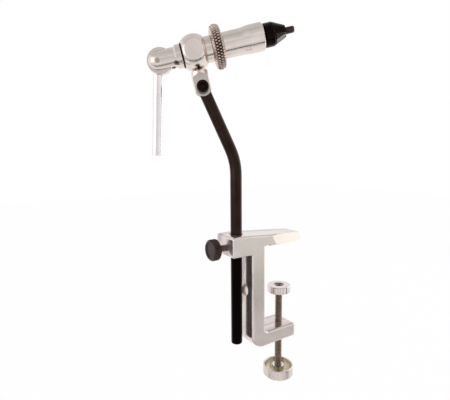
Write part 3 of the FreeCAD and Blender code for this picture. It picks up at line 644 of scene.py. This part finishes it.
def threadRows(start, end, radius, look):
    # a screw thread from start to end, whose groove winds round the rod
    pitch, depth, chamfer = look["pitch"], look["depth"], look["chamfer"]
    rows = [(start, radius - chamfer)]
    count = int((end - start) / pitch * threadLook["rows"])
    for row in range(count + 1):
        place = start + chamfer + (end - start - 2 * chamfer) * row / count

        def threaded(angle, place=place):
            turn = (place / pitch - angle / math.tau) % 1
            land = threadLook["flank"] * abs(2 * turn - 1) - threadLook["root"]
            return radius - depth * (1 - min(1.0, max(0.0, land)))

        rows.append((place, threaded))
    rows.append((end, radius - chamfer))
    return rows


def makeScrews():
    for node, look in screwLooks.items():
        centre, start, end, radius = roundNode(node, look["way"])
        rows = threadRows(start, end, radius, look)
        lathe(look["piece"], rows, look["segments"], centre, ways[look["way"]], ways[look["across"]],
              "screwSteel", look["body"], node, threadLook["sharp"], look["depth"])
    print("screws threaded")


makeScrews()

knurlLook = {
    "around": 46,                          # pyramids round the rim
    "rowLength": 0.0042,                   # and along it, corner to corner
    "depth": 0.0011,
    "steepness": 1.5,
    "fade": 7,                             # the knurl runs out over a seventh of the rim at each side
    "samples": 12,                         # points round each pyramid
    "rows": 36,
    "outer": 0.01685,
    "crownDrop": 0.0013,                   # how much lower the rim is at its sides
    "rimBack": 0.0009,                     # how far the rim stands in from the back and the front
    "rimFront": 0.0007,
    "backRadius": 0.0126,                  # of the flat back
    "backEdge": 0.013,
    "frontEdge": 0.0145,
    "frontRadius": 0.0139,                 # of the flat front
    "bore": 0.00755,
    "threadBore": 0.00905,
    "boreBevel": 0.0003,
    "bevel": 0.0002,
    "web": 0.0026,                         # thickness of the ring's back wall
    "sharp": 40,
}


def makeKnurledRing():
    # the adjusting ring: a crowned rim of small pyramids between two plain sides
    look = knurlLook
    back, front = nodeReach("adjust_ring", along, headCentre)
    rimStart = back + look["rimBack"]
    rimLength = front - look["rimFront"] - rimStart
    bevel, boreBevel = look["bevel"], look["boreBevel"]
    bore, threadBore = look["bore"], look["threadBore"]
    web = back + look["web"]

    def rim(share):
        crown = look["outer"] - look["crownDrop"] * (2 * share - 1) ** 2
        fade = min(1.0, share * look["fade"], (1 - share) * look["fade"])
        lengthwise = rimLength * share / look["rowLength"]

        def knurled(angle):
            around = angle / math.tau * look["around"]
            first = abs(2 * ((around + lengthwise) % 1) - 1)
            second = abs(2 * ((around - lengthwise) % 1) - 1)
            return crown - max(0.0, look["depth"] * fade * (1 - min(first, second) * look["steepness"]))

        return rimStart + rimLength * share, knurled

    rows = [(back + bevel, bore), (back, bore + boreBevel), (back, look["backRadius"]),
            (back + bevel, look["backEdge"])]
    rows += [rim(row / look["rows"]) for row in range(look["rows"] + 1)]
    rows += [(front - bevel, look["frontEdge"]), (front, look["frontRadius"]),
             (front, threadBore + boreBevel), (front - boreBevel, threadBore), (web, threadBore), (web, bore)]
    lathe("knurledRing", rows, look["around"] * look["samples"], headCentre, along, side, "ringSteel",
          "ring", "adjust_ring", look["sharp"], look["depth"], hollow=True)
    print("ring knurled")


makeKnurledRing()

knobLook = {
    "teeth": 40,
    "toothDepth": 0.00045,
    "toothShape": 0.6,                     # below 1 the teeth are rounder and their gaps narrower
    "samples": 8,                          # points round each tooth
    "dish": 0.0007,                        # depth of the turned face
    "dishEdge": 0.0032,                    # how far inside the teeth it ends
    "rings": 15,
    "ringDepth": 0.00005,
    # the raised rim round the face: depth from the outer end, and how far inside the teeth
    "rim": [(0.0007, 0.003), (0.0004, 0.0027), (0, 0.0024), (0, 0.0011), (0.0004, 0.0006)],
    # where the teeth start and end, with how far they are bevelled
    "teethStart": [(0.0009, 0.0001), (0.0012, 0)],
    "teethEnd": [(0.0019, 0), (0.0015, 0.0001)],
    "backInset": 0.0012,
    "bossRadius": 0.0048,
    "bossHeight": 0.0005,
    "bossBevel": 0.0003,
    "backBevel": 0.0001,
    "bore": 0.0025,
    "sharp": 38,
}


def makeLockKnob():
    look = knobLook
    centre, outer, inner, radius = roundNode("lock_knob", 0)

    def toothed(bevel):
        def rim(angle):
            wave = 0.5 + 0.5 * math.cos(angle * look["teeth"])
            return radius - bevel - look["toothDepth"] * (1 - wave ** look["toothShape"])
        return rim

    count = 2 * look["rings"]
    face = outer + look["dish"]
    rows = [(face + look["ringDepth"] * (ring % 2), pinHole + (radius - look["dishEdge"]) * ring / count)
            for ring in range(count + 1)]
    rows += [(outer + depth, radius - inset) for depth, inset in look["rim"]]
    rows += [(outer + depth, toothed(bevel)) for depth, bevel in look["teethStart"]]
    rows += [(inner - depth, toothed(bevel)) for depth, bevel in look["teethEnd"]]
    back = inner - look["bossHeight"]
    rows += [(back - look["backBevel"], radius - look["backInset"]), (back, look["bossRadius"]),
             (inner, look["bossRadius"] - look["bossBevel"]), (inner, look["bore"])]
    lathe("lockKnobSerrated", rows, look["teeth"] * look["samples"], centre, ways[0], ways[1], "knobBrown",
          "lock_screw_group", "lock_knob", look["sharp"])
    print("knob serrated")


makeLockKnob()

capScrewLook = {
    "headRadius": 0.0047625,
    "headHeight": 0.00635,
    "shankRadius": 0.003175,
    "shankEnd": (0.0004, 0.0028),          # bevel of the shank's end, and its radius there
    "ridges": 36,
    "ridgeDepth": 0.00018,
    "samples": 6,                          # points round each ridge
    "socket": 0.00476,                     # across the flats
    "socketDepth": 0.0032,
    "socketBevel": 0.0003,
    "socketFloor": (0.0002, 0.97),         # bevel at the socket's floor, and the floor's share of its width
    # the head's upper edge: depth from the top, and how far inside the ridges
    "edge": [(0, 0.0009), (0.0002, 0.0005)],
    # where the ridges start and end, with how far they are bevelled
    "ridgesStart": [(0.0006, 0.0001), (0.0009, 0)],
    "ridgesEnd": [(0.0006, 0), (0.0003, 0.0002)],
    "seatInset": 0.0004,
    "sharp": 38,
}


def makeTiltScrew():
    look = capScrewLook
    top, end = nodeReach("tilt_screw", side, tiltCentre)
    seat = top + look["headHeight"]
    floor = top + look["socketDepth"]
    radius, shank, socketBevel = look["headRadius"], look["shankRadius"], look["socketBevel"]
    floorBevel, floorShare = look["socketFloor"]
    endBevel, endRadius = look["shankEnd"]

    def ridged(bevel):
        def rim(angle):
            wave = 0.5 - 0.5 * math.cos(angle * look["ridges"])
            return radius - bevel - look["ridgeDepth"] * wave
        return rim

    def socket(angle):
        sixth = math.pi / 3
        return look["socket"] / 2 / math.cos((angle + sixth / 2) % sixth - sixth / 2)

    rows = [(floor, pinHole), (floor, lambda angle: socket(angle) * floorShare), (floor - floorBevel, socket),
            (top + socketBevel, socket), (top, lambda angle: socket(angle) + socketBevel)]
    rows += [(top + depth, radius - inset) for depth, inset in look["edge"]]
    rows += [(top + depth, ridged(bevel)) for depth, bevel in look["ridgesStart"]]
    rows += [(seat - depth, ridged(bevel)) for depth, bevel in look["ridgesEnd"]]
    rows += [(seat, radius - look["seatInset"]), (seat, shank), (end - endBevel, shank), (end, endRadius)]
    lathe("tiltScrewHead", rows, look["ridges"] * look["samples"], tiltCentre, side, along, "screwBlack",
          "head_mount", "tilt_screw", look["sharp"])
    print("cap screw made")


makeTiltScrew()

cameraLook = {
    "place": (-0.218442, -0.250193, 0.079093),
    "turn": -32.761,                       # degrees, from looking along y
    "down": 7.327,
    "roll": -0.522,
    "lens": 29.929,                        # millimetres, as is the sensor
    "sensor": 36,
    "nearest": 0.01,
}
cameraPlace = Vector(cameraLook["place"])


def makeCamera():
    look = cameraLook
    data = bpy.data.cameras.new("photoCamera")
    data.lens = look["lens"]
    data.sensor_width = look["sensor"]
    data.clip_start = look["nearest"]
    camera = bpy.data.objects.new("photoCamera", data)
    turn = Matrix.Rotation(math.radians(look["turn"]), 4, "Z")
    tip = Matrix.Rotation(math.radians(90 - look["down"]), 4, "X")
    roll = Matrix.Rotation(math.radians(look["roll"]), 4, "Z")
    camera.matrix_world = Matrix.Translation(cameraPlace) @ turn @ tip @ roll
    bpy.context.scene.collection.objects.link(camera)
    bpy.context.scene.camera = camera
    print("camera placed")


makeCamera()

# a white tent round the object, which its polished metal mirrors
tentLook = {
    "middle": (-0.05, 0, 0.05),            # what the tent stands round
    "front": 0.97,                         # brightness of its front
    "frontFade": (0.15, 0.4),
    "ceiling": 0.7,
    "ceilingFade": (0.36, 0.75),
    "ground": 0.98,
    "groundFade": (0.12, 0.5),
    "folds": 0.35,                         # how dark the soft upright folds of its front are
    "foldStretch": (1, 1, 0.25),
    "foldScale": 5.5,
    "foldEdge": (0.5, 0.62),
    "foldFade": (-0.2, 0.3),
    "opening": 0.72,                       # brightness of the round opening that the camera looks through
    "openingEdge": (0.95, 0.985),
    "gap": 0.0,                            # and of the narrow gap below it, in line with the head
    "gapAngle": 48,
    "gapEdge": (4.2, 7),
}


def gapMask(paint, ray):
    # 1 in the gap, by the ray's angle about the head's axis
    offset = cameraPlace - headCentre
    square = (offset - along * offset.dot(along)).normalized()
    down = along.cross(square)
    if down.z > 0:
        down = -down
    across = paint.reach(ray, square)
    turn = across.maths("ARCTAN2", paint.reach(ray, down), across)
    off = abs(turn - math.radians(tentLook["gapAngle"]))
    return 1 - off.step(*[math.radians(angle) for angle in tentLook["gapEdge"]])


def makeWorld():
    look = tentLook
    world = bpy.data.worlds.new("studioTent")
    world.use_nodes = True
    bpy.context.scene.world = world
    paint = Paint(world.node_tree)
    ray = paint.add("ShaderNodeTexCoord", output="Generated")
    toCamera = (cameraPlace - Vector(look["middle"])).normalized()
    front = paint.reach(ray, Vector((toCamera.x, toCamera.y, 0)).normalized())
    height = paint.reach(ray, upright)
    belt = between((1, look["front"]), front.step(*look["frontFade"]))
    sky = between((belt, look["ceiling"]), height.step(*look["ceilingFade"]))
    tent = between((sky, look["ground"]), (0 - height).step(*look["groundFade"]))
    folds = paint.stretched(ray, look["foldStretch"], look["foldScale"], 1, 0.4).step(*look["foldEdge"])
    tent = tent * (1 - look["folds"] * folds * front.step(*look["foldFade"]))
    tent = tent * between((1, look["opening"]), paint.reach(ray, toCamera).step(*look["openingEdge"]))
    tent = tent * between((1, look["gap"]), gapMask(paint, ray))
    seen = paint.add("ShaderNodeLightPath", output="Is Camera Ray")     # the background itself is white
    strength = between((tent, 1), seen)
    background = paint.add("ShaderNodeBackground", inputs={"Color": (1, 1, 1, 1), "Strength": strength})
    paint.add("ShaderNodeOutputWorld", inputs={"Surface": background})
    print("studio tent made")


makeWorld()

floorLook = {
    "drop": 0.17,                          # below the object's lowest point
    "size": 6.0,
    "tint": (0.95, 0.95, 0.95),
    "roughness": 0.9,
    "glow": 0.97,                          # how much of the floor is plain white
}


def makeFloor():
    look = floorLook
    half = look["size"] / 2
    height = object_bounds()[0].z - look["drop"]
    mesh = bpy.data.meshes.new("studioFloor")
    corners = [(-half, -half, height), (half, -half, height), (half, half, height), (-half, half, height)]
    mesh.from_pydata(corners, [], [(0, 1, 2, 3)])
    material = bpy.data.materials.new("paleFloor")
    material.use_nodes = True
    paint = Paint(material.node_tree)
    matt = paint.add("ShaderNodeBsdfPrincipled",
                     inputs={"Base Color": (*look["tint"], 1), "Roughness": look["roughness"]})
    white = paint.add("ShaderNodeEmission", inputs={"Color": (1, 1, 1, 1), "Strength": 1.0})
    mixed = paint.add("ShaderNodeMixShader", inputs={0: look["glow"], 1: matt, 2: white})
    paint.add("ShaderNodeOutputMaterial", inputs={"Surface": mixed})
    mesh.materials.append(material)
    floor = bpy.data.objects.new("studioFloor", mesh)
    floor.visible_glossy = False           # metal sees the tent below it, with no hard horizon
    bpy.context.scene.collection.objects.link(floor)
    print("floor laid")


makeFloor()

lampAim = Vector((-0.04, 0, 0.05))
lampLooks = {
    "rightSoftbox": {"way": (0.93, -0.3, 0.12), "distance": 1.2, "size": 1.15, "brightness": 0.6},
    "leftSoftbox": {"way": (-0.97, 0.0, 0.25), "distance": 1.2, "size": 1.0, "brightness": 0.55},
}


def makeLamps():
    for name, look in lampLooks.items():
        data = bpy.data.lights.new(name, "AREA")
        data.shape = "SQUARE"
        data.size = look["size"]
        data.energy = look["brightness"] * math.pi * look["size"] ** 2
        lamp = bpy.data.objects.new(name, data)
        way = Vector(look["way"]).normalized()
        lamp.location = lampAim + way * look["distance"]
        lamp.rotation_euler = way.to_track_quat("Z", "Y").to_euler()
        bpy.context.scene.collection.objects.link(lamp)
    print("lamps hung:", len(lampLooks))


makeLamps()

bpy.context.scene.view_settings.view_transform = "Standard"
